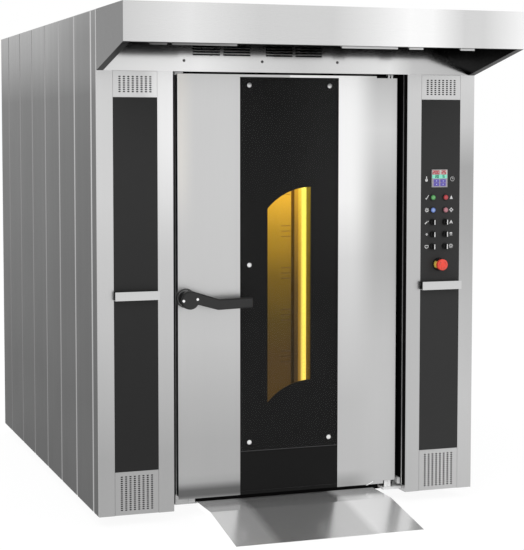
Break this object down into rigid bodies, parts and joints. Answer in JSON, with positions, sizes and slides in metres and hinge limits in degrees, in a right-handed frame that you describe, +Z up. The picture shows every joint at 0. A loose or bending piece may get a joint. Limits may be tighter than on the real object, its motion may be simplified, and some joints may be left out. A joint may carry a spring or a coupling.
{
  "type": "rotating rack oven",
  "caption": "Rotating rack oven: pivoted glazed door, slotted columns with a control panel, steam hood, folded cladding and ramp; turntable, hook, fan and tubular heat exchanger inside.",
  "frame": {"origin": "on the floor at the middle of the footprint, ramp included", "axes": "+Z up, +Y from the door to the rear cladding, +X towards the control column"},
  "size_m": [1.84, 2.893, 2.362],
  "materials": {
    "steel_structure": "mill",
    "foot_steel": "zinc plated",
    "cladding_steel": "brushed along the height",
    "front_steel": "brushed",
    "black_panel": "satin black enamel",
    "black_plastic": "moulded",
    "jamb_steel": "brushed",
    "reveal_rubber": "matt",
    "fitting_steel": "machined",
    "chamber_steel": "satin",
    "mineral_wool": "mineral wool slab",
    "lamp_glass": "ribbed lamp glass",
    "exchanger_steel": "heat tinted",
    "motor_paint": "gloss paint",
    "duct_steel": "satin",
    "bearing_iron": "cast",
    "display_plastic": "moulded frame round a dark screen",
    "bezel_metal": "polished",
    "door_glass": "tinted, clear through the window",
    "mask_enamel": "black enamel behind the glass",
    "inner_glass": "clear heat-proof glass",
    "screw_steel": "polished domes",
    "lever_black": "moulded",
    "button_green": "moulded",
    "button_red": "moulded",
    "button_blue": "moulded",
    "button_pink": "moulded",
    "selector_black": "moulded",
    "estop_red": "moulded"
  },
  "bodies": {
    "cabinet": {"base_rails": "steel_structure", "base_crossmembers": "steel_structure", "frame_posts": "steel_structure", "body_rails": "steel_structure", "levelling_feet": "foot_steel", "side_cladding": "cladding_steel", "rear_cladding": "cladding_steel", "roof_panel": "cladding_steel", "hood_shell": "front_steel", "header_panel": "front_steel", "left_column": "front_steel", "right_column": "front_steel", "vent_grilles": "front_steel", "grip_straps": "front_steel", "dark_panels": "black_panel", "control_panel": "black_panel", "strap_ends": "black_plastic", "door_jamb": "jamb_steel", "threshold_plate": "jamb_steel", "ramp_plate": "jamb_steel", "reveal_strips": "reveal_rubber", "door_fittings": "fitting_steel", "chamber_floor": "chamber_steel", "chamber_walls": "chamber_steel", "diffuser_wall": "chamber_steel", "steam_generator": "chamber_steel", "insulation": "mineral_wool", "lamp_cover": "lamp_glass", "heat_exchanger": "exchanger_steel", "roof_motors": "motor_paint", "roof_outlets": "duct_steel", "turntable_bearing": "bearing_iron", "display_unit": "display_plastic", "switch_bezels": "bezel_metal"},
    "door": {"door_skin": "front_steel", "door_core": "mineral_wool", "door_liner": "jamb_steel", "door_glass": "door_glass", "window_mask": "mask_enamel", "inner_glass": "inner_glass", "kick_panel": "black_panel", "door_gasket": "reveal_rubber", "glass_screws": "screw_steel", "door_pivots": "fitting_steel"},
    "handle": {"lever_handle": "lever_black", "latch_cam": "fitting_steel"},
    "turntable": {"turntable": "chamber_steel"},
    "hook": {"rack_hook": "chamber_steel"},
    "fan": {"circulation_fan": "chamber_steel"},
    "green_button": {"green_button": "button_green"},
    "red_button": {"red_button": "button_red"},
    "blue_button": {"blue_button": "button_blue"},
    "pink_button": {"pink_button": "button_pink"},
    "selector_1": {"selector_1": "selector_black"},
    "selector_2": {"selector_2": "selector_black"},
    "selector_3": {"selector_3": "selector_black"},
    "selector_4": {"selector_4": "selector_black"},
    "selector_5": {"selector_5": "selector_black"},
    "selector_6": {"selector_6": "selector_black"},
    "estop": {"estop_button": "estop_red"}
  },
  "joints": [
    {"name": "door_swing", "type": "hinge", "parent": "cabinet", "child": "door", "pos_m": [0.512, -0.881, 1.052], "axis": [0, 0, 1], "range_deg": [0, 105]},
    {"name": "handle_turn", "type": "hinge", "parent": "door", "child": "handle", "pos_m": [-0.504, -0.9085, 1.014], "axis": [0, 1, 0], "range_deg": [0, 80]},
    {"name": "turntable_spin", "type": "hinge", "parent": "cabinet", "child": "turntable", "pos_m": [0, -0.091, 0.052], "axis": [0, 0, 1], "continuous": true},
    {"name": "hook_spin", "type": "hinge", "parent": "cabinet", "child": "hook", "pos_m": [0, -0.091, 2.002], "axis": [0, 0, 1], "continuous": true},
    {"name": "fan_spin", "type": "hinge", "parent": "cabinet", "child": "fan", "pos_m": [0, 0.9255, 1.902], "axis": [0, 0, 1], "continuous": true},
    {"name": "green_press", "type": "slide", "parent": "cabinet", "child": "green_button", "axis": [0, 1, 0], "range_m": [0, 0.003], "stiffness_N_per_m": 400},
    {"name": "red_press", "type": "slide", "parent": "cabinet", "child": "red_button", "axis": [0, 1, 0], "range_m": [0, 0.003], "stiffness_N_per_m": 400},
    {"name": "blue_press", "type": "slide", "parent": "cabinet", "child": "blue_button", "axis": [0, 1, 0], "range_m": [0, 0.003], "stiffness_N_per_m": 400},
    {"name": "pink_press", "type": "slide", "parent": "cabinet", "child": "pink_button", "axis": [0, 1, 0], "range_m": [0, 0.003], "stiffness_N_per_m": 400},
    {"name": "selector_1_turn", "type": "hinge", "parent": "cabinet", "child": "selector_1", "pos_m": [0.7065, -0.9535, 1.341], "axis": [0, 1, 0], "range_deg": [-45, 45]},
    {"name": "selector_2_turn", "type": "hinge", "parent": "cabinet", "child": "selector_2", "pos_m": [0.7725, -0.9535, 1.341], "axis": [0, 1, 0], "range_deg": [-45, 45]},
    {"name": "selector_3_turn", "type": "hinge", "parent": "cabinet", "child": "selector_3", "pos_m": [0.7065, -0.9535, 1.283], "axis": [0, 1, 0], "range_deg": [-45, 45]},
    {"name": "selector_4_turn", "type": "hinge", "parent": "cabinet", "child": "selector_4", "pos_m": [0.7725, -0.9535, 1.283], "axis": [0, 1, 0], "range_deg": [-45, 45]},
    {"name": "selector_5_turn", "type": "hinge", "parent": "cabinet", "child": "selector_5", "pos_m": [0.7065, -0.9535, 1.225], "axis": [0, 1, 0], "range_deg": [-45, 45]},
    {"name": "selector_6_turn", "type": "hinge", "parent": "cabinet", "child": "selector_6", "pos_m": [0.7725, -0.9535, 1.225], "axis": [0, 1, 0], "range_deg": [-45, 45]},
    {"name": "estop_push", "type": "slide", "parent": "cabinet", "child": "estop", "axis": [0, 1, 0], "range_m": [0, 0.005]}
  ],
  "couplings": [
    {"joint": "hook_spin", "follows": "turntable_spin", "ratio": 1}
  ]
}
